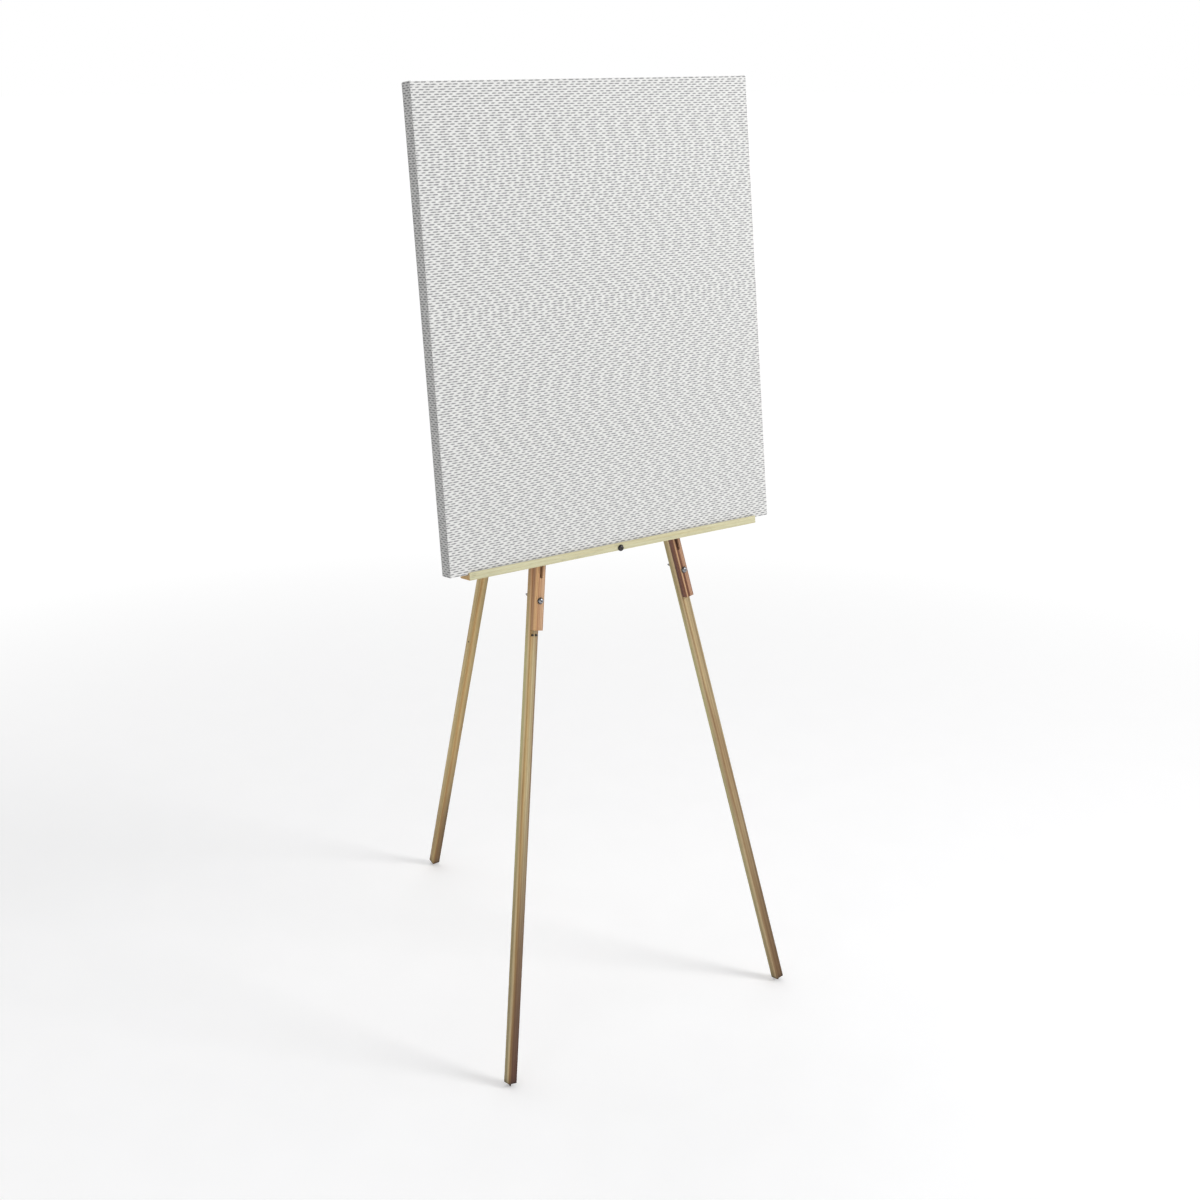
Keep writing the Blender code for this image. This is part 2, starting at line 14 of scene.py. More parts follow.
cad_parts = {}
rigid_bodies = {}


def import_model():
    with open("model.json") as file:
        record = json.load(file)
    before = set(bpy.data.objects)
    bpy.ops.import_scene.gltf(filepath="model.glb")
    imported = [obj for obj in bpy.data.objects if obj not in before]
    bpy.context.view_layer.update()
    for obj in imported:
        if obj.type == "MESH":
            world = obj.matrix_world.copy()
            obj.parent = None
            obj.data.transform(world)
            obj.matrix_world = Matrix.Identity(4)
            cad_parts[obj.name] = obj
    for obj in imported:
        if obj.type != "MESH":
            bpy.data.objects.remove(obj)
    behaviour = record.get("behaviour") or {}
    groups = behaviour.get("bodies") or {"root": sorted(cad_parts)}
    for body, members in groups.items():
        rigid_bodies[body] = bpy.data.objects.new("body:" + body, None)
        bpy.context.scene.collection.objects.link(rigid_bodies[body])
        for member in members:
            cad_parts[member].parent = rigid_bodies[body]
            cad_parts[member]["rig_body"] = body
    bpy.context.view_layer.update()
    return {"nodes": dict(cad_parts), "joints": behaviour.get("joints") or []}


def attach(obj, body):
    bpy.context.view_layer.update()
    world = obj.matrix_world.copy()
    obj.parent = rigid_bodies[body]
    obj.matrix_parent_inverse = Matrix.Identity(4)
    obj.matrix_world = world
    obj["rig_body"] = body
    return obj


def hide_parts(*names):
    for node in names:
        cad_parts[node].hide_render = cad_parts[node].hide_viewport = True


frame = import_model()
NODES = frame["nodes"]
JOINTS = {joint["name"]: joint for joint in frame["joints"]}
LEG_NAMES = ("front_left", "front_right", "rear")

# Weave
RIB_PITCH = 0.0044             # from one thick weft thread to the next
RIB_DEPTH = 0.00050
DASH_LENGTH = 0.0150           # one long stitch of the brick-like weave and the break after it
DASH_MEAN = 0.78               # a groove's depth, as a share of the full depth
DASH_SWING = 0.50              # how much it changes within a stitch
DASH_DRIFT = 0.22              # how much it changes more slowly along the thread
DRIFT_RATE = 0.37              # slow changes per stitch
DASH_LEAST = 0.30
STITCH_JITTER = 0.14           # how far a row's stitches are out of step, in stitches
WEAVE_SEED = 7

# Canvas cloth
COLUMN_STEP = 0.0031
CLOTH_THICKNESS = 0.0005
CORNER_ROUND = 0.0016
BACK_FOLD = 0.026
FOLD_STEPS = 12
BACK_GAP = 0.00012             # from the back of the bars to the folded cloth
FLAP_SHARE = 0.92              # of the canvas's depth
FLAP_INSET = 0.0012
FLAP_BACK_INSET = 0.0006
FLAP_LIFT = 0.0007
FLAP_TAPER = 0.0004
FLAP_ROUND = 0.0003
STAPLE_STEP = 0.070
STAPLE_MARGIN = 0.06           # from a corner to the first staple
STAPLE_SPAN = 0.010
STAPLE_WIRE = 0.00022
STAPLE_ROUND = 0.00012
STAPLE_TILT = 0.12
STAPLE_INSET = BACK_FOLD * 0.55
MAST_HALF = 0.03               # no staple is nearer to the middle than this, where the mast is
TOUCHING = 1e-6                # a place this near to an edge of the box is on it

# Fittings
SHANK = 0.0025
HEAD_HEIGHT = 0.0036
HEAD_RIM = 0.0009
DOME_STEP = 12                 # degrees from one ring of a bolt head's dome to the next
DOME_POWER = 0.8               # below 1 the dome is flatter than a ball
THREAD_LENGTH = 0.016
THREAD_PITCH = 0.0008
THREAD_DEPTH = 0.0003
WASHER_BORE = 0.0028
WASHER_EDGE = 0.0002
LATHE_STEPS = 40
RECESS_ARM = 0.0029
RECESS_WIDTH = 0.0010
RECESS_DEPTH = 0.0016
SCREW_RECESS_DEPTH = 0.0012
RECESS_TAPER = 0.62
SCREW_PITCH = 0.0020
SCREW_PLAIN_END = 0.014        # where a wood screw's thread starts
NUT_VOXEL = 0.00032
LATHE_CREASE = math.radians(38)

# Wood
LEG_ROUND = 0.0009
BOARD_ROUND = 0.0008
STRETCHER_ROUND = 0.0010
KEY_ROUND = 0.0003
ARRIS_ANGLE = math.radians(34)
KNOT_RADIUS = 0.0026

# Clean copies of CAD shapes
MERGE_DISTANCE = 0.00001
FLAT_ANGLE = math.radians(1.0)

# Texture cells per metre along a piece's X, Y and Z; the grain of wood runs along Z
GRAIN_WANDER = (14.0, 14.0, 2.2)
GRAIN_PATCHES = (55.0, 55.0, 3.0)
GRAIN_FIBRES = (900.0, 900.0, 14.0)
GRAIN_PORES = (1700.0, 1700.0, 55.0)
RING_STRETCH = 0.035           # the rings change this much less along the grain than across it
RINGS_PER_SCALE = 0.314        # the ring texture's scale times the gap between its rings
STEEL_GRIME = (420.0, 420.0, 420.0)
STEEL_SCRATCHES = (9000.0, 1400.0, 1400.0)
CLOTH_THREADS = (160.0, 420.0, 900.0)
CLOTH_SLUBS = (28.0, 60.0, 240.0)
CLOTH_FUZZ = (700.0, 700.0, 1500.0)

# Stage
FLOOR_RADIUS = 60.0
FLOOR_FADE = (0.7, 3.2)        # the floor turns from lit to glowing white between these distances
FADE_SCALE = 10.0
NEAR_GLOW = 0.15
HORIZON_WHITE = 0.34           # how high up the studio is white, as the Z of the view's direction
OVERHEAD_DIM = 0.62
SOFTBOXES = {                  # place, what it is aimed at, diameter, power
    "key": ((2.4, -3.4, 3.2), (0.0, -0.2, 1.1), 1.6, 90.0),
    "fill": ((-3.2, -1.6, 1.4), (0.0, 0.0, 0.9), 2.2, 10.0),
    "top": ((0.2, 0.6, 4.2), (0.0, 0.0, 0.8), 2.4, 35.0),
}
CAMERA_PLACE = (-1.895, -2.974, 1.993)
CAMERA_HEADING = math.radians(35.0)
CAMERA_DIP = math.radians(15.26)
CAMERA_LENS = 51.45
CAMERA_SENSOR = 36.0
CAMERA_SHIFT = -0.08


# ---------------------------------------------------------------- frames

def member_frame(origin, back, up):
    """A frame with X across, Y towards the back and Z along a member."""
    y = Vector(back).normalized()
    z = Vector(up).normalized()
    axes = Matrix((y.cross(z), y, z)).transposed()
    return Matrix.Translation(origin) @ axes.to_4x4()


def leg_frame(leg):
    turn = JOINTS[leg + "_lock_turn"]
    down = Vector(JOINTS[leg + "_extend"]["axis"])
    return member_frame(turn["pos_m"], turn["axis"], -down)


LEGS = {leg: leg_frame(leg) for leg in LEG_NAMES}
LEDGE_TURN = JOINTS["ledge_lock_turn"]
BOARD = member_frame(LEDGE_TURN["pos_m"], LEDGE_TURN["axis"], JOINTS["ledge_height"]["axis"])
PIVOT_TURN = JOINTS["front_left_pivot_turn"]
PLANE_UP = Vector((1.0, 0.0, 0.0)).cross(Vector(PIVOT_TURN["axis"]))
PLANE = member_frame(PIVOT_TURN["pos_m"], PIVOT_TURN["axis"], PLANE_UP)


def local_box(node, place):
    """A CAD node's lowest and highest corner along the axes of a frame."""
    into = place.inverted()
    points = [into @ vert.co for vert in NODES[node].data.vertices]
    low = Vector(min(point[axis] for point in points) for axis in range(3))
    high = Vector(max(point[axis] for point in points) for axis in range(3))
    return low, high


def grain_frame(node, place):
    """A frame at the middle of a wooden node's lower end, with Z along its longest side."""
    low, high = local_box(node, place)
    size = high - low
    if size.x > size.z:
        place = place @ Matrix.Rotation(math.pi / 2, 4, "Y")
        low, high = local_box(node, place)
    centre = (low + high) / 2
    return place @ Matrix.Translation((centre.x, centre.y, low.z))


def axis_frame(node, place):
    """A frame on a round node's axis, at its lower end, with Z along the axis; and its size."""
    low, high = local_box(node, place)
    centre = (low + high) / 2
    return place @ Matrix.Translation((centre.x, centre.y, low.z)), high - low


def facing_back(place):
    """The same frame turned so that its Z points along the place's Y."""
    return place @ Matrix.Rotation(-math.pi / 2, 4, "X")


def facing_side(place):
    """The same frame turned so that its Z points along the place's X."""
    return place @ Matrix.Rotation(math.pi / 2, 4, "Y")


# ---------------------------------------------------------------- materials

def srgb(red, green, blue):
    """A colour from its screen values, 0 to 255, as the shader needs it."""
    def linear(value):
        share = value / 255
        return share / 12.92 if share <= 0.04045 else ((share + 0.055) / 1.055) ** 2.4
    return (linear(red), linear(green), linear(blue), 1.0)


class Shade:
    """A Principled material that is put together from short node calls."""

    def __init__(self, name):
        self.material = bpy.data.materials.new(name)
        self.material.use_nodes = True
        self.tree = self.material.node_tree
        self.shader = self.tree.nodes["Principled BSDF"]
        self.source = self.tree.nodes.new("ShaderNodeTexCoord")

    def feed(self, socket, value):
        if isinstance(value, bpy.types.NodeSocket):
            self.tree.links.new(value, socket)
        else:
            socket.default_value = value

    def node(self, kind, inputs, **settings):
        made = self.tree.nodes.new("ShaderNode" + kind)
        for key, value in settings.items():
            setattr(made, key, value)
        for key, value in inputs.items():
            self.feed(made.inputs[key], value)
        return made

    def place(self, scale, shift=(0.0, 0.0, 0.0)):
        """Object coordinates in metres, scaled and shifted."""
        mapping = self.node("Mapping", {"Vector": self.source.outputs["Object"],
                                        "Scale": scale, "Location": shift})
        return mapping.outputs["Vector"]

    def part_of(self, output, axis):
        """One axis of the object coordinates or of the normal."""
        return self.node("SeparateXYZ", {"Vector": self.source.outputs[output]}).outputs[axis]

    def noise(self, vector, detail=3.0, roughness=0.55):
        made = self.node("TexNoise", {"Vector": vector, "Scale": 1.0, "Detail": detail,
                                      "Roughness": roughness})
        return made.outputs["Fac"]

    def ramp(self, value, stops):
        made = self.node("ValToRGB", {"Fac": value})
        points = made.color_ramp.elements
        while len(points) < len(stops):
            points.new(0.5)
        for point, (place, color) in zip(points, stops):
            point.position = place
            point.color = color if isinstance(color, tuple) else (color, color, color, 1.0)
        return made.outputs["Color"]

    def mix(self, amount, first, second, blend="MIX"):
        made = self.node("Mix", {}, data_type="RGBA", blend_type=blend)
        for index, value in ((0, amount), (6, first), (7, second)):
            self.feed(made.inputs[index], value)
        return made.outputs[2]

    def math(self, operation, first, second=0.0):
        made = self.node("Math", {}, operation=operation)
        self.feed(made.inputs[0], first)
        self.feed(made.inputs[1], second)
        return made.outputs[0]

    def centred(self, value, amount):
        """A value from 0 to 1 as a swing about zero."""
        return self.math("MULTIPLY", self.math("SUBTRACT", value, 0.5), amount)

    def surface(self, **values):
        for key, value in values.items():
            self.feed(self.shader.inputs[key.replace("_", " ")], value)

    def bump(self, height, distance, strength=1.0):
        made = self.node("Bump", {"Height": height, "Distance": distance, "Strength": strength})
        self.feed(self.shader.inputs["Normal"], made.outputs["Normal"])


def worn_foot(shade, color, height, turn, broad, tint, reach):
    """The colour with a ragged dark tint on the front of the lowest stretch, and darker towards the floor.
    """
    ragged = shade.math("ADD", height, shade.centred(broad, 0.30))
    worn = shade.ramp(shade.math("DIVIDE", ragged, reach), [(0.0, 1.0), (0.35, 0.8), (1.0, 0.0)])
    front = shade.ramp(turn, [(0.10, 0.25), (0.19, 1.0), (0.40, 1.0), (0.52, 0.5)])
    color = shade.mix(shade.math("MULTIPLY", worn, front), color, tint, "MULTIPLY")
    # Darker towards the floor: down to 0.35 at the bottom, full colour from 2 cm up.
    floor_darkening = shade.ramp(height, [(0.0, 0.35), (0.006, 0.8), (0.020, 1.0)])
    return shade.mix(1.0, color, floor_darkening, "MULTIPLY")


def toned_head(shade, color, height, tint, start, full):
    """The colour with a tint that comes in between two heights."""
    tall = 2.0
    near_top = shade.ramp(shade.math("DIVIDE", height, tall), [(start / tall, 0.0), (full / tall, 1.0)])
    return shade.mix(near_top, color, tint, "MULTIPLY")


def end_grain(shade, color, lines, tone):
    """The colour with the rings showing darkly on the ends."""
    on_end = shade.ramp(shade.math("ABSOLUTE", shade.part_of("Normal", "Z")), [(0.75, 0.0), (0.95, 1.0)])
    end_tone = shade.mix(lines, tone, (0.12, 0.07, 0.035, 1.0))
    return shade.mix(shade.math("MULTIPLY", on_end, 0.85), color, end_tone)


def knotted(shade, color, place):
    """The colour with a small dark knot at a place."""
    away = shade.node("VectorMath", {0: shade.source.outputs["Object"], 1: place},
                      operation="DISTANCE").outputs["Value"]
    dark_spot = shade.ramp(shade.math("DIVIDE", away, KNOT_RADIUS), [(0.7, 1.0), (1.0, 0.0)])
    return shade.mix(dark_spot, color, srgb(52, 42, 32))


def wood(name, around, late, seed, ring_gap=0.0030, ring_share=0.45, pith=(0.03, 0.05), end=None,
         foot=None, head=None, knot=None, blotch=None, rough=0.52):
    """Wood whose grain runs along Z.

    around gives the colours round the section: 0 and 1 are the middle of the left face, 0.25 the
    front, 0.5 the right and 0.75 the back, with the arrises between them. late is the tint of the
    growth lines. foot is a tint for the lowest stretch and how far up it reaches. head is a tint
    for the top stretch, with the heights where it starts and where it is full. knot is the place
    of a small dark knot. end is the tone of the ends, blotch the tint of broad patches, and rough
    the middle of the roughness.
    """
    shade = Shade(name)
    wander = shade.noise(shade.place(GRAIN_WANDER, (seed, 0.0, seed)), detail=2.0)
    broad = shade.noise(shade.place(GRAIN_PATCHES, (seed, seed, 0.0)), detail=4.0)
    fibre = shade.noise(shade.place(GRAIN_FIBRES, (0.0, seed, 0.0)), detail=4.0, roughness=0.7)
    pores = shade.noise(shade.place(GRAIN_PORES, (seed, 0.0, 0.0)), detail=2.0)
    height = shade.part_of("Object", "Z")
    turn = shade.node("TexGradient", {"Vector": shade.source.outputs["Object"]},
                      gradient_type="RADIAL").outputs["Fac"]
    rings = shade.node("TexWave", {
        "Vector": shade.place((1.0, 1.0, RING_STRETCH), (*pith, seed)),
        "Scale": RINGS_PER_SCALE / ring_gap, "Distortion": 3.0, "Detail": 2.0, "Detail Scale": 0.7,
    }, wave_type="RINGS", rings_direction="Z").outputs["Fac"]
    lines = shade.ramp(rings, [(0.35, 0.0), (0.85, 1.0), (0.97, 0.5)])
    patches = shade.ramp(broad, [(0.48, 0.0), (0.66, 1.0)])

    color = shade.ramp(shade.math("ADD", turn, shade.centred(wander, 0.16)), around)
    color = shade.mix(shade.math("MULTIPLY", lines, ring_share), color, late, "MULTIPLY")
    color = shade.mix(shade.math("MULTIPLY", patches, 0.5), color, blotch or late, "MULTIPLY")
    color = shade.mix(1.0, color, shade.ramp(fibre, [(0.25, 0.74), (0.5, 0.98), (0.75, 1.13)]), "MULTIPLY")
    color = shade.mix(0.8, color, shade.ramp(pores, [(0.27, 0.45), (0.36, 1.0)]), "MULTIPLY")
    color = end_grain(shade, color, lines, end or late)
    if head:
        color = toned_head(shade, color, height, *head)
    if foot:
        color = worn_foot(shade, color, height, turn, broad, *foot)
    if knot:
        color = knotted(shade, color, knot)

    roughness = shade.ramp(fibre, [(0.2, rough + 0.14), (0.8, rough - 0.06)])
    shade.surface(Base_Color=color, Roughness=roughness)
    shade.shader.inputs["Specular IOR Level"].default_value = 0.35
    relief = shade.math("ADD", shade.math("MULTIPLY", lines, 0.5), fibre)
    shade.bump(relief, 0.00018, 0.7)
    return shade.material


def steel(name, tone, rough):
    """Plated steel with fine scratches, dull patches and dark grime."""
    shade = Shade(name)
    patches = shade.noise(shade.place(STEEL_GRIME), detail=5.0)
    lines = shade.noise(shade.place(STEEL_SCRATCHES), detail=3.0, roughness=0.7)
    grime = shade.ramp(patches, [(0.35, 0.75), (0.6, 0.0)])
    color = shade.mix(grime, tone, (0.05, 0.047, 0.045, 1.0))
    scratched = shade.math("ADD", shade.centred(lines, 0.5), rough)
    roughness = shade.math("ADD", scratched, shade.math("MULTIPLY", patches, 0.12))
    shade.surface(Base_Color=color, Roughness=roughness, Metallic=1.0)
    shade.bump(lines, 0.00002, 0.35)
    return shade.material


def canvas_cloth():
    """Primed white cloth: pale threads, with painted shade along the grooves between the ribs and on the
    sides.
    """
    shade = Shade("primed_canvas")
    groove = shade.node("Attribute", {}, attribute_name="groove").outputs["Fac"]
    threads = shade.noise(shade.place(CLOTH_THREADS), detail=4.0, roughness=0.7)
    slubs = shade.noise(shade.place(CLOTH_SLUBS, (3.0, 1.0, 2.0)), detail=3.0)
    pale = shade.ramp(threads, [(0.3, srgb(208, 208, 206)), (0.7, srgb(227, 227, 225))])
    pale = shade.mix(0.45, pale, shade.ramp(slubs, [(0.3, 0.86), (0.62, 1.0)]), "MULTIPLY")
    # Painted shade in the grooves between the ribs, taken from each point's groove depth.
    dark = shade.ramp(groove, [(0.32, 0.0), (0.68, 1.0)])
    color = shade.mix(dark, pale, srgb(132, 132, 134))
    # Painted shade on the canvas's sides, the faces whose normals point along X.
    side_shade = shade.ramp(shade.math("ABSOLUTE", shade.part_of("Normal", "X")), [(0.6, 1.0), (0.9, 0.62)])
    color = shade.mix(1.0, color, side_shade, "MULTIPLY")
    shade.surface(Base_Color=color, Roughness=shade.ramp(threads, [(0.2, 0.95), (0.8, 0.82)]))
    shade.shader.inputs["Specular IOR Level"].default_value = 0.25
    shade.shader.inputs["Sheen Weight"].default_value = 0.15
    fuzz = shade.noise(shade.place(CLOTH_FUZZ), detail=2.0)
    shade.bump(fuzz, 0.00015, 0.6)
    return shade.material


TAN = srgb(190, 172, 126)
GREENISH = srgb(176, 170, 122)
PALE_TAN = srgb(206, 190, 148)
DARK_EDGE = srgb(130, 112, 88)
LATE_PINE = srgb(200, 174, 144)

MATERIALS = {
    "lower_front_left": wood(
        "pine_front_left",
        [(0.0, srgb(192, 180, 140)), (0.09, srgb(212, 192, 146)), (0.135, srgb(170, 140, 86)),
         (0.19, srgb(182, 158, 112)), (0.27, srgb(182, 168, 130)), (0.34, srgb(168, 150, 116)),
         (0.385, DARK_EDGE), (0.5, TAN), (0.75, PALE_TAN), (0.93, GREENISH)],
        LATE_PINE, 1.3, foot=(srgb(128, 92, 92), 0.56), head=(srgb(228, 184, 164), 0.84, 1.02)),
    "lower_front_right": wood(
        "pine_front_right",
        [(0.0, srgb(184, 164, 122)), (0.09, srgb(202, 184, 142)), (0.14, srgb(164, 136, 94)),
         (0.2, srgb(184, 164, 122)), (0.28, srgb(186, 166, 126)), (0.36, srgb(160, 142, 106)),
         (0.5, TAN), (0.75, PALE_TAN), (0.93, GREENISH)],
        srgb(172, 136, 104), 4.1, pith=(0.02, -0.03), foot=(srgb(160, 136, 116), 0.52)),
    "lower_rear": wood(
        "pine_rear",
        [(0.0, srgb(178, 158, 108)), (0.10, srgb(182, 156, 104)), (0.14, srgb(170, 134, 80)),
         (0.22, srgb(186, 162, 114)), (0.36, srgb(152, 134, 94)), (0.5, TAN), (0.75, PALE_TAN),
         (0.93, TAN)],
        LATE_PINE, 7.7, pith=(-0.04, 0.03), foot=(srgb(160, 140, 120), 0.36), knot=(-0.009, 0.0, 0.675)),
    "upper_front_left": wood(
        "redwood_front_left",
        # The light stop at 0.12 is a painted highlight along the left front arris.
        [(0.0, srgb(204, 166, 120)), (0.09, srgb(208, 164, 114)), (0.12, srgb(232, 198, 144)),
         (0.145, srgb(196, 154, 108)), (0.19, srgb(178, 138, 98)), (0.25, srgb(184, 144, 106)),
         (0.37, srgb(200, 166, 132)), (0.5, srgb(158, 122, 90)), (0.75, srgb(164, 126, 88)),
         (0.93, srgb(172, 136, 96))],
        srgb(186, 138, 108), 2.6, ring_gap=0.0024, ring_share=0.6, end=srgb(120, 84, 56)),
    "upper_front_right": wood(
        "redwood_front_right",
        # The light stop at 0.145 is a painted highlight along the left front arris. The dark stops on the
        # left face (0, 0.11 and 0.93) and on the front at 0.185 and 0.235 are partly the redwood's own dark
        # colour and partly painted shade.
        [(0.0, srgb(122, 76, 50)), (0.11, srgb(112, 66, 44)), (0.145, srgb(206, 168, 126)),
         (0.185, srgb(116, 68, 42)), (0.235, srgb(92, 52, 34)), (0.27, srgb(164, 120, 88)),
         (0.36, srgb(196, 158, 128)), (0.5, srgb(136, 98, 72)), (0.75, srgb(146, 108, 76)),
         (0.93, srgb(110, 68, 50))],
        srgb(140, 84, 62), 5.2, ring_gap=0.0024, ring_share=0.6, end=srgb(84, 50, 38)),
    "upper_rear": wood(
        "redwood_rear",
        [(0.0, srgb(150, 112, 76)), (0.25, srgb(140, 98, 66)), (0.5, srgb(150, 110, 76)),
         (0.75, srgb(158, 118, 82)), (0.93, srgb(150, 110, 76))],
        srgb(150, 100, 76), 8.4, ring_gap=0.0026, ring_share=0.55, end=srgb(120, 84, 56)),
    "ledge": wood(
        "pale_ledge",
        [(0.0, srgb(212, 204, 172)), (0.10, srgb(214, 202, 168)), (0.13, srgb(206, 182, 140)),
         (0.16, srgb(204, 200, 166)), (0.30, srgb(196, 193, 160)), (0.40, srgb(184, 180, 146)),
         (0.5, srgb(190, 184, 146)), (0.75, srgb(196, 188, 150)), (0.93, srgb(206, 198, 164))],
        srgb(226, 206, 170), 3.9, ring_gap=0.0042, ring_share=0.28, end=srgb(196, 150, 80),
        blotch=srgb(236, 226, 206), rough=0.46),
    "frame": wood(
        "planed_pine",
        [(0.0, srgb(204, 176, 128)), (0.25, srgb(210, 184, 138)), (0.5, srgb(200, 172, 124)),
         (0.75, srgb(208, 182, 134)), (0.93, srgb(204, 178, 130))],
        srgb(196, 156, 112), 6.1, ring_gap=0.0034, end=srgb(160, 118, 70)),
    "stretcher": wood(
        "raw_stretcher_pine",
        [(0.0, srgb(222, 198, 152)), (0.25, srgb(226, 204, 160)), (0.5, srgb(218, 192, 146)),
         (0.75, srgb(224, 200, 156)), (0.93, srgb(220, 196, 150))],
        srgb(206, 168, 122), 9.3, ring_gap=0.0048, pith=(0.09, 0.16), end=srgb(176, 134, 84),
        rough=0.62),
    "key": wood(
        "raw_beech_key",
        [(0.0, srgb(226, 204, 166)), (0.5, srgb(220, 196, 156)), (1.0, srgb(226, 204, 166))],
        srgb(212, 180, 140), 11.7, ring_gap=0.0016, end=srgb(190, 156, 110), rough=0.6),
    "steel": steel("plated_steel", (0.36, 0.36, 0.38, 1.0), 0.22),
    "washer": steel("dull_washer_steel", (0.12, 0.12, 0.125, 1.0), 0.34),
    "dark": steel("blackened_steel", (0.07, 0.065, 0.065, 1.0), 0.38),
    "cloth": canvas_cloth(),
}


def wood_of(node):
    """The material of a wooden CAD node."""
    for leg in LEG_NAMES:
        for section in ("lower", "upper"):
            if node == f"{leg}_{section}_leg":
                return MATERIALS[f"{section}_{leg}"]
    for start in ("ledge", "stretcher", "key"):
        if node.startswith(start):
            return MATERIALS[start]
    return MATERIALS["frame"]


# ---------------------------------------------------------------- pieces

def add_object(name, data):
    made = bpy.data.objects.new(name, data)
    bpy.context.scene.collection.objects.link(made)
    return made


def finished_mesh(bm, name, smooth=True):
    """Turns an edited shape into a mesh and frees it."""
    for face in bm.faces:
        face.smooth = smooth
    mesh = bpy.data.meshes.new(name)
    bm.to_mesh(mesh)
    bm.free()
    return mesh


def new_piece(name, mesh, place, material, body):
    piece = add_object(name, mesh)
    piece.matrix_world = place
    mesh.materials.clear()
    mesh.materials.append(material)
    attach(piece, body)
    return piece


def stand_for(piece, *nodes):
    """This piece is shown in place of the CAD nodes, which are hidden."""
    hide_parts(*nodes)


def node_mesh(node, place):
    """A clean copy of a CAD node's shape, in the coordinates of a frame."""
    bm = bmesh.new()
    bm.from_mesh(NODES[node].data)
    bmesh.ops.transform(bm, matrix=place.inverted(), verts=bm.verts)
    bmesh.ops.remove_doubles(bm, verts=bm.verts, dist=MERGE_DISTANCE)
    bmesh.ops.dissolve_limit(bm, angle_limit=FLAT_ANGLE, verts=bm.verts, edges=bm.edges)
    return finished_mesh(bm, node + "_shape")


def soften(piece, width, segments=3):
    """Rounds the arrises of a piece."""
    change = piece.modifiers.new("arrises", "BEVEL")
    change.width = width
    change.segments = segments
    change.limit_method = "ANGLE"
    change.angle_limit = ARRIS_ANGLE
    change.harden_normals = True


def wooden(node, place, width):
    """A wooden CAD node with rounded arrises and grain along its length."""
    along = grain_frame(node, place)
    body = NODES[node]["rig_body"]
    piece = new_piece(node + "_wood", node_mesh(node, along), along, wood_of(node), body)
    soften(piece, width)
    stand_for(piece, node)


def lathe_mesh(name, profile):
    """A closed turned shape round Z from (radius, height) points.

    The points start and end on the axis, or go round the section of a ring.
    """
    bm = bmesh.new()
    rows = []
    for radius, height in profile:
        if radius == 0:
            rows.append([bm.verts.new((0.0, 0.0, height))])
            continue
        row = []
        for step in range(LATHE_STEPS):
            angle = 2 * math.pi * step / LATHE_STEPS
            row.append(bm.verts.new((radius * math.cos(angle), radius * math.sin(angle), height)))
        rows.append(row)
    pairs = list(zip(rows, rows[1:]))
    if len(rows[0]) > 1:
        pairs.append((rows[-1], rows[0]))
    for low, high in pairs:
        for step in range(LATHE_STEPS):
            after = (step + 1) % LATHE_STEPS
            corners = [low[step % len(low)], low[after % len(low)],
                       high[after % len(high)], high[step % len(high)]]
            bm.faces.new(list(dict.fromkeys(corners)))
    bmesh.ops.recalc_face_normals(bm, faces=bm.faces)
    mesh = finished_mesh(bm, name)
    mesh.set_sharp_from_angle(angle=LATHE_CREASE)
    return mesh


def settled(piece):
    """Applies a piece's modifiers to its mesh."""
    bpy.context.view_layer.update()
    evaluated = piece.evaluated_get(bpy.context.evaluated_depsgraph_get())
    mesh = bpy.data.meshes.new_from_object(evaluated)
    piece.modifiers.clear()
    piece.data = mesh


def cross_recess(piece, place, depth):
    """Cuts a cross recess into a screw head; the place's Z points into the head."""
    bm = bmesh.new()
    for size in ((2 * RECESS_ARM, RECESS_WIDTH), (RECESS_WIDTH, 2 * RECESS_ARM)):
        box = bmesh.ops.create_cube(bm, size=1.0)["verts"]
        bmesh.ops.scale(bm, vec=(*size, 2 * depth), verts=box)
        for vert in box:
            if vert.co.z > 0:
                vert.co.x *= RECESS_TAPER
                vert.co.y *= RECESS_TAPER
    tool = add_object("recess", finished_mesh(bm, "recess", smooth=False))
    tool.matrix_world = place
    change = piece.modifiers.new("recess", "BOOLEAN")
    change.operation = "DIFFERENCE"
    change.solver = "EXACT"
    change.use_self = True
    change.object = tool
    settled(piece)
    bpy.data.objects.remove(tool, do_unlink=True)


def fitting(node, mesh, place, finish):
    """A piece for a metal CAD node."""
    return new_piece(node + "_fitting", mesh, place, MATERIALS[finish], NODES[node]["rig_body"])


def turned(node, place, finish, profile_of, recess=0.0, spin=0.0):
    """A turned fitting; profile_of gives its outline from its radius and length."""
    here, size = axis_frame(node, place)
    mesh = lathe_mesh(node + "_fitting", profile_of(size.x / 2, size.z))
    piece = fitting(node, mesh, here, finish)
    if recess:
        cross_recess(piece, here @ Matrix.Rotation(spin, 4, "Z"), recess)
    stand_for(piece, node)


def bolt_profile(radius, length):
    """A domed head with its top at Z 0, a plain shank, and a thread at the far end."""
    profile = [(0.0, 0.0)]
    for step in range(1, 8):
        angle = math.radians(90 - DOME_STEP * step)
        out = radius * math.cos(angle) ** DOME_POWER
        profile.append((out, (HEAD_HEIGHT - HEAD_RIM) * (1 - math.sin(angle))))
    profile += [(radius, HEAD_HEIGHT - 0.0006), (radius - 0.0003, HEAD_HEIGHT - 0.0001),
                (radius - 0.0007, HEAD_HEIGHT), (SHANK, HEAD_HEIGHT)]
    plain_end = length - THREAD_LENGTH
    profile.append((SHANK, plain_end))
    for turn in range(int((length - plain_end - THREAD_PITCH) / THREAD_PITCH)):
        start = plain_end + turn * THREAD_PITCH
        profile.append((SHANK - THREAD_DEPTH, start + THREAD_PITCH * 0.5))
        profile.append((SHANK, start + THREAD_PITCH * 0.9))
    return profile + [(SHANK - 2 * THREAD_DEPTH, length), (0.0, length)]


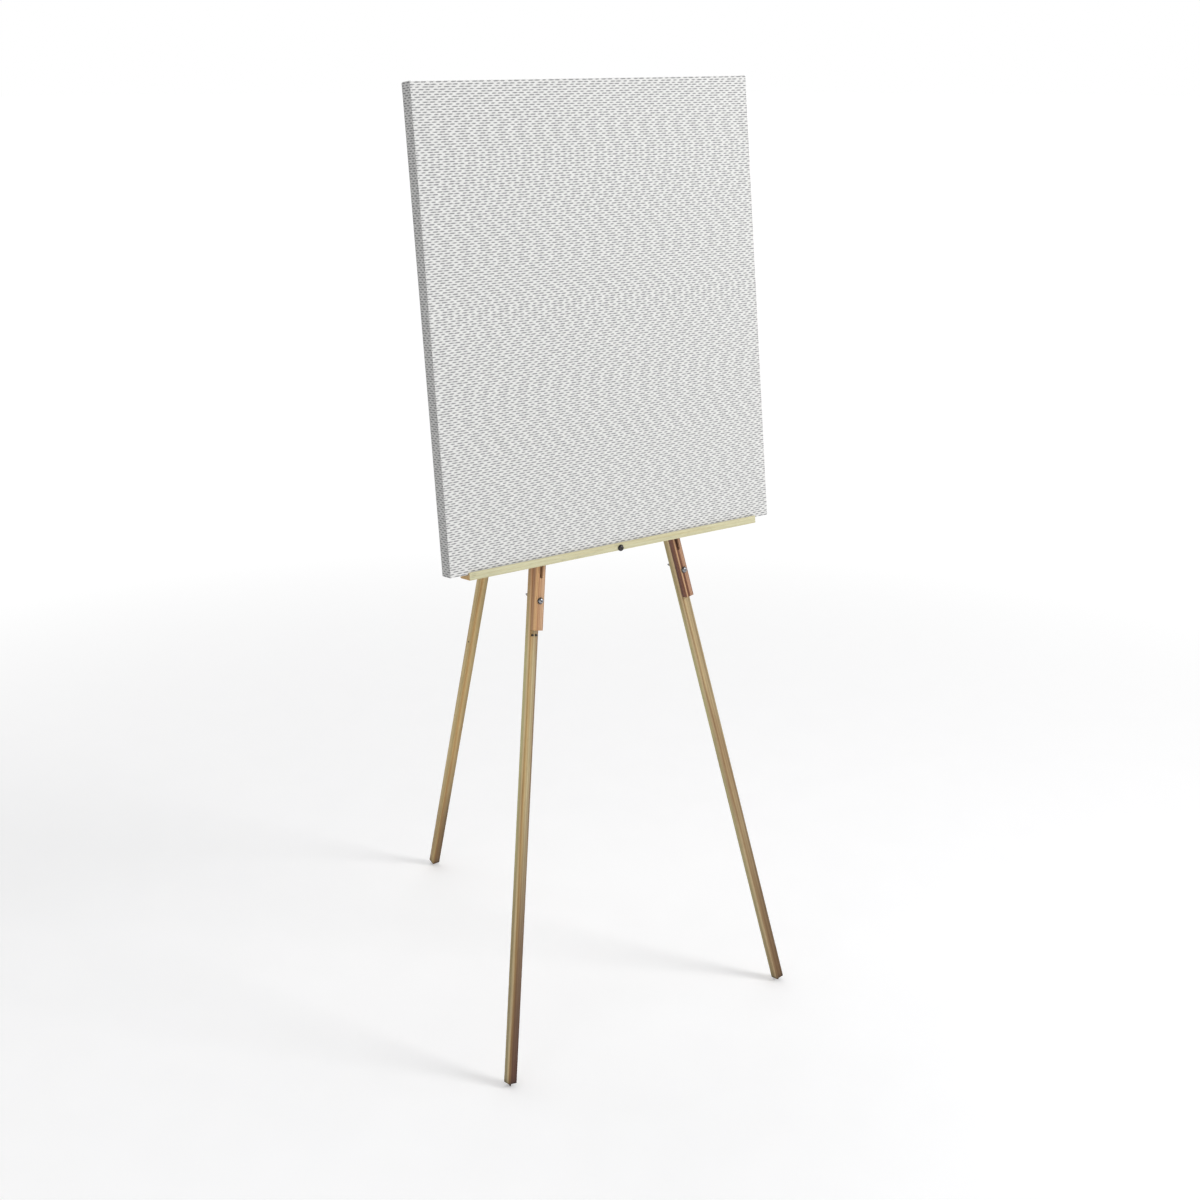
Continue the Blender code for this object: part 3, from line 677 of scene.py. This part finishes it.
def washer_profile(radius, length):
    """The section of the ring, with its edges broken."""
    outer = radius - WASHER_EDGE
    inner = WASHER_BORE + WASHER_EDGE
    top = length - WASHER_EDGE
    return [(WASHER_BORE, WASHER_EDGE), (inner, 0.0), (outer, 0.0), (radius, WASHER_EDGE),
            (radius, top), (outer, length), (inner, length), (WASHER_BORE, top)]


def pin_profile(radius, length):
    """A plain pin with soft ends."""
    soft = radius * 0.3
    return [(0.0, 0.0), (radius - soft, 0.0), (radius - soft * 0.3, soft * 0.3), (radius, soft),
            (radius, length - soft), (radius - soft, length), (0.0, length)]


def spike_profile(radius, length):
    """A driven point: a small rounded tip at Z 0, a collar, and a shank in the wood."""
    collar = 0.0045
    collar_end = 0.0078
    shank = 0.0015
    return [(0.0, 0.0), (0.0008, 0.0001), (0.0011, 0.0005), (radius * 0.95, collar - 0.0012),
            (radius, collar), (radius, collar_end), (shank, collar_end), (shank, length - 0.001),
            (0.0, length)]


def wood_screw_profile(radius, length):
    """A round head at Z 0 and a coarse thread down to a sharp point."""
    core = 0.0013
    crest = 0.0018
    head = 0.0024
    profile = [(0.0, 0.0), (radius * 0.5, 0.0003), (radius * 0.85, 0.0011), (radius, 0.0022),
               (radius, head), (crest, head), (crest, SCREW_PLAIN_END)]
    height = SCREW_PLAIN_END
    while height < length - 3 * SCREW_PITCH:
        profile.append((core, height + SCREW_PITCH * 0.55))
        profile.append((crest, height + SCREW_PITCH))
        height += SCREW_PITCH
    profile.append((0.0, length))
    return profile


def bolt(node, place):
    """A pan-headed machine bolt. The spin of its recess comes from its name, so that they differ."""
    finish = "dark" if node == "ledge_bolt" else "steel"
    spin = math.radians(sum(map(ord, node)) % 90)
    turned(node, place, finish, bolt_profile, RECESS_DEPTH, spin)


def washer(node, place):
    turned(node, place, "washer", washer_profile)


def wing_nut(node, place):
    """The CAD wing nut with its corners melted round, as on a casting."""
    here, _ = axis_frame(node, place)
    piece = fitting(node, node_mesh(node, here), here, "steel")
    change = piece.modifiers.new("casting", "REMESH")
    change.mode = "VOXEL"
    change.voxel_size = NUT_VOXEL
    change.use_smooth_shade = True
    melt = piece.modifiers.new("melt", "SMOOTH")
    melt.factor = 0.5
    melt.iterations = 5
    settled(piece)
    stand_for(piece, node)


def build_wood():
    for leg in LEG_NAMES:
        wooden(leg + "_lower_leg", LEGS[leg], LEG_ROUND)
        wooden(leg + "_upper_leg", LEGS[leg], LEG_ROUND)
    wooden("mast", BOARD, BOARD_ROUND)
    wooden("ledge", BOARD, BOARD_ROUND)
    for node in ("head_block", "yoke_plate", "yoke_cheek_left", "yoke_cheek_right"):
        wooden(node, PLANE, BOARD_ROUND)
    for node in NODES:
        if node.startswith("stretcher"):
            wooden(node, BOARD, STRETCHER_ROUND)
        if node.startswith("key"):
            wooden(node, BOARD, KEY_ROUND)


def build_fittings():
    for leg in LEG_NAMES:
        across = facing_back(LEGS[leg])
        bolt(leg + "_lock_bolt", across)
        washer(leg + "_lock_washer", across)
        wing_nut(leg + "_lock_nut", across)
        turned(leg + "_guide_pin", across, "steel", pin_profile)
        turned(leg + "_foot_spike", LEGS[leg], "dark", spike_profile)
    for side in ("left", "right"):
        turned("front_left_stop_pin_" + side, facing_back(LEGS["front_left"]), "dark", pin_profile)
        pivot = facing_back(PLANE)
        bolt(f"front_{side}_pivot_bolt", pivot)
        washer(f"front_{side}_pivot_washer", pivot)
        wing_nut(f"front_{side}_pivot_nut", pivot)
    for part, maker in (("bolt", bolt), ("washer", washer), ("nut", wing_nut)):
        maker("rear_pivot_" + part, facing_side(PLANE))
        maker("ledge_" + part, facing_back(BOARD))
    driven_forward = facing_back(PLANE) @ Matrix.Rotation(math.pi, 4, "X")
    for word in ("lower", "upper"):
        turned("head_screw_" + word, driven_forward, "dark", wood_screw_profile, SCREW_RECESS_DEPTH)


# ---------------------------------------------------------------- canvas

def stops_along(low, high, step):
    """Places from low to high: evenly spaced, with extra ones where the cloth turns the edge."""
    turn = [0.0, CORNER_ROUND * 0.35, CORNER_ROUND]
    clear = 1.1 * CORNER_ROUND
    count = round((high - low) / step)
    inner = [low + (high - low) * index / count for index in range(1, count)]
    inner = [stop for stop in inner if low + clear < stop < high - clear]
    return [low + t for t in turn] + inner + [high - t for t in reversed(turn)]


class Cloth:
    """The stretched cloth as one surface: front, four sides, and the strips folded to the back."""

    def __init__(self, low, high):
        random.seed(WEAVE_SEED)
        self.low = low
        self.high = high
        self.centre = (low + high) / 2
        self.pitch = (high.z - low.z) / round((high.z - low.z) / RIB_PITCH)
        self.rows = stops_along(low.z, high.z, self.pitch / 2)
        self.columns = stops_along(low.x, high.x, COLUMN_STEP)
        self.depths = stops_along(low.y, high.y, self.pitch / 2)
        self.starts = [(random.uniform(-STITCH_JITTER, STITCH_JITTER), random.random()) for _ in self.rows]
        self.bm = bmesh.new()
        # Each point's groove depth, which the cloth material turns into painted shade along the grooves.
        self.groove = self.bm.verts.layers.float.new("groove")
        self.made = {}
        self.folded = {}

    def weave(self, along, up):
        """How deep the cloth lies at this place, 0 on a rib and 1 in a groove."""
        across = (up - self.low.z) / self.pitch
        valley = 0.5 - 0.5 * math.cos(2 * math.pi * across)
        row = math.floor(across)
        shift, start = self.starts[row % len(self.starts)]
        turns = along / DASH_LENGTH
        brick = math.sin(2 * math.pi * (turns + 0.5 * (row % 2) + shift))
        slow = math.sin(2 * math.pi * (DRIFT_RATE * turns + start))
        dash = DASH_MEAN + DASH_SWING * brick + DASH_DRIFT * slow
        return valley * min(1.0, max(DASH_LEAST, dash))

    def vertex(self, x, y, z):
        """The cloth's point over a point of the sharp-edged box, with the edges rounded."""
        low, high = self.low, self.high
        key = (round(x, 6), round(y, 6), round(z, 6))
        if key not in self.made:
            core = Vector((
                min(max(x, low.x + CORNER_ROUND), high.x - CORNER_ROUND),
                max(y, low.y + CORNER_ROUND),
                min(max(z, low.z + CORNER_ROUND), high.z - CORNER_ROUND),
            ))
            out = (Vector((x, y, z)) - core).normalized()
            along = x if abs(x) < high.x - TOUCHING else y
            up = z
            if z > high.z - TOUCHING:
                up = z + (y - low.y)
            elif z < low.z + TOUCHING:
                up = z - (y - low.y)
            depth = self.weave(along, up)
            self.made[key] = self.bm.verts.new(core + out * CORNER_ROUND - out * RIB_DEPTH * depth)
            self.made[key][self.groove] = depth
        return self.made[key]

    def fold_back(self, x, z, step):
        """A point of the strip on the back of the bars, some steps in from the edge."""
        low, high, centre = self.low, self.high, self.centre
        if step == 0:
            return self.vertex(x, high.y, z)
        key = (round(x, 6), round(z, 6), step)
        if key not in self.folded:
            reach = BACK_FOLD * step / FOLD_STEPS
            inward = Vector((
                (centre.x - x) / (centre.x - low.x) * reach, 0.0, (centre.z - z) / (centre.z - low.z) * reach
            ))
            if low.x + TOUCHING < x < high.x - TOUCHING:
                depth = self.weave(x, z + step * self.pitch / 2)
            else:
                depth = self.weave(high.y + reach, z)
            self.folded[key] = self.bm.verts.new(Vector((x, high.y + BACK_GAP, z)) + inward)
            self.folded[key][self.groove] = depth
        return self.folded[key]

    def patch(self, first, second, point_of):
        """A flat side of the box, from the stops along its two directions."""
        for a, b in zip(first, first[1:]):
            for c, d in zip(second, second[1:]):
                pairs = ((a, c), (b, c), (b, d), (a, d))
                self.bm.faces.new([self.vertex(*point_of(*pair)) for pair in pairs])

    def strips(self):
        """The four strips on the back of the bars."""
        low, high = self.low, self.high
        edges = [[(x, z) for x in self.columns] for z in (low.z, high.z)]
        edges += [[(x, z) for z in self.rows] for x in (low.x, high.x)]
        for step in range(FOLD_STEPS):
            for edge in edges:
                for a, b in zip(edge, edge[1:]):
                    self.bm.faces.new([self.fold_back(*a, step), self.fold_back(*b, step),
                                       self.fold_back(*b, step + 1), self.fold_back(*a, step + 1)])

    def mesh(self):
        low, high = self.low, self.high
        self.patch(self.columns, self.rows, lambda x, z: (x, low.y, z))
        for side in (low.x, high.x):
            self.patch(self.depths, self.rows, lambda y, z: (side, y, z))
        for edge in (low.z, high.z):
            self.patch(self.columns, self.depths, lambda x, y: (x, y, edge))
        self.strips()
        bmesh.ops.recalc_face_normals(self.bm, faces=self.bm.faces)
        return finished_mesh(self.bm, "canvas_sheet")


def corner_flap(name, place, low, high, side, level):
    """The folded wedge of spare cloth at a corner, on the upper or lower edge of the canvas."""
    bm = bmesh.new()
    reach = (high.y - low.y) * FLAP_SHARE
    outer = high.x - FLAP_INSET
    back = high.y - FLAP_BACK_INSET
    lift = FLAP_LIFT if level > (low.z + high.z) / 2 else -FLAP_LIFT * 0.3
    lower = []
    upper = []
    for x, y in ((outer, back), (outer, high.y - reach), (outer - reach, back)):
        lower.append(bm.verts.new((side * x, y, level)))
        upper.append(bm.verts.new((side * (x - FLAP_TAPER), y - FLAP_TAPER / 2, level + lift)))
    bm.faces.new(lower)
    bm.faces.new(list(reversed(upper)))
    for index in range(3):
        after = (index + 1) % 3
        bm.faces.new([lower[index], lower[after], upper[after], upper[index]])
    bmesh.ops.recalc_face_normals(bm, faces=bm.faces)
    piece = new_piece(name, finished_mesh(bm, name), place, MATERIALS["cloth"], "canvas")
    soften(piece, FLAP_ROUND, 2)
    return piece


def staple_stops(low, high):
    """Evenly spaced places along one side, clear of its corners."""
    span = high - low - 2 * STAPLE_MARGIN
    count = int(span / STAPLE_STEP)
    return [low + STAPLE_MARGIN + span * index / count for index in range(count + 1)]


def staples(place, low, high):
    """One mesh with all the staples that hold the cloth to the back of the bars."""
    bm = bmesh.new()
    spots = []
    for z in (low.z + STAPLE_INSET, high.z - STAPLE_INSET):
        spots += [(x, z, 0.0) for x in staple_stops(low.x, high.x) if abs(x) > MAST_HALF]
    for x in (low.x + STAPLE_INSET, high.x - STAPLE_INSET):
        spots += [(x, z, math.pi / 2) for z in staple_stops(low.z, high.z)]
    for x, z, turn in spots:
        tilt = random.uniform(-STAPLE_TILT, STAPLE_TILT)
        wire = bmesh.ops.create_cube(bm, size=1.0)["verts"]
        bmesh.ops.scale(bm, vec=(STAPLE_SPAN, 2 * STAPLE_WIRE, 4 * STAPLE_WIRE), verts=wire)
        there = Matrix.Translation((x, high.y + BACK_GAP + STAPLE_WIRE, z))
        bmesh.ops.transform(bm, matrix=there @ Matrix.Rotation(turn + tilt, 4, "Y"), verts=wire)
    mesh = finished_mesh(bm, "canvas_staples")
    piece = new_piece("canvas_staples", mesh, place, MATERIALS["steel"], "canvas")
    soften(piece, STAPLE_ROUND, 2)
    return piece


def build_canvas():
    place = BOARD
    low, high = local_box("canvas_cover", place)
    sheet = new_piece("canvas_sheet", Cloth(low, high).mesh(), place, MATERIALS["cloth"], "canvas")
    body = sheet.modifiers.new("cloth", "SOLIDIFY")
    body.thickness = CLOTH_THICKNESS
    body.offset = -1.0
    stand_for(sheet, "canvas_cover")
    for side, word in ((-1, "left"), (1, "right")):
        for level, row in ((low.z, "bottom"), (high.z, "top")):
            corner_flap(f"canvas_flap_{row}_{word}", place, low, high, side, level)
    fixings = staples(place, low, high)


# ---------------------------------------------------------------- stage

def build_floor():
    """A wide pale floor that fades into the background far from the easel."""
    bm = bmesh.new()
    bmesh.ops.create_circle(bm, cap_ends=True, segments=96, radius=FLOOR_RADIUS)
    floor = add_object("studio_floor", finished_mesh(bm, "studio_floor", smooth=False))
    shade = Shade("studio_floor")
    away = shade.node("VectorMath", {0: shade.source.outputs["Object"]}, operation="LENGTH").outputs["Value"]
    distance = shade.math("DIVIDE", away, FADE_SCALE)
    start, end = (limit / FADE_SCALE for limit in FLOOR_FADE)
    far = shade.ramp(distance, [(start, 0.0), (end, 1.0)])
    glow = shade.ramp(distance, [(start, NEAR_GLOW), (end, 1.0)])
    speckle = shade.noise(shade.place((9.0, 9.0, 9.0)), detail=4.0)
    near = shade.ramp(speckle, [(0.3, 0.93), (0.7, 0.95)])
    shade.surface(Base_Color=shade.mix(far, near, (0.0, 0.0, 0.0, 1.0)), Roughness=0.85)
    shade.surface(Emission_Color=(1.0, 1.0, 1.0, 1.0), Emission_Strength=glow)
    shade.shader.inputs["Specular IOR Level"].default_value = 0.1
    floor.data.materials.append(shade.material)


def build_world():
    """White round the horizon, dimmer overhead, so that the steel has something dark to show."""
    world = bpy.data.worlds.new("studio")
    bpy.context.scene.world = world
    world.use_nodes = True
    tree = world.node_tree
    source = tree.nodes.new("ShaderNodeTexCoord")
    split = tree.nodes.new("ShaderNodeSeparateXYZ")
    ramp = tree.nodes.new("ShaderNodeValToRGB")
    horizon, overhead = ramp.color_ramp.elements
    horizon.position = HORIZON_WHITE
    horizon.color = (1.0, 1.0, 1.0, 1.0)
    overhead.position = OVERHEAD_DIM
    overhead.color = (0.30, 0.30, 0.31, 1.0)
    tree.links.new(source.outputs["Generated"], split.inputs["Vector"])
    tree.links.new(split.outputs["Z"], ramp.inputs["Fac"])
    tree.links.new(ramp.outputs["Color"], tree.nodes["Background"].inputs["Color"])


def softbox(name, spot, target, size, power):
    light = bpy.data.lights.new(name, "AREA")
    light.shape = "DISK"
    light.size = size
    light.energy = power
    holder = add_object(name, light)
    holder.location = spot
    aim = Vector(target) - Vector(spot)
    holder.rotation_euler = aim.to_track_quat("-Z", "Y").to_euler()


def build_camera():
    """The camera stands front left of the easel, above it, and looks slightly down."""
    data = bpy.data.cameras.new("view")
    data.sensor_width = CAMERA_SENSOR
    data.lens = CAMERA_LENS
    data.shift_y = CAMERA_SHIFT
    camera = add_object("view", data)
    camera.location = CAMERA_PLACE
    level = math.cos(CAMERA_DIP)
    aim = Vector((math.sin(CAMERA_HEADING) * level, math.cos(CAMERA_HEADING) * level, -math.sin(CAMERA_DIP)))
    camera.rotation_euler = aim.to_track_quat("-Z", "Y").to_euler()
    bpy.context.scene.camera = camera


build_wood()
build_fittings()
build_canvas()
build_floor()
build_world()
for light_name, setup in SOFTBOXES.items():
    softbox(light_name, *setup)
build_camera()
bpy.context.scene.view_settings.view_transform = "Standard"
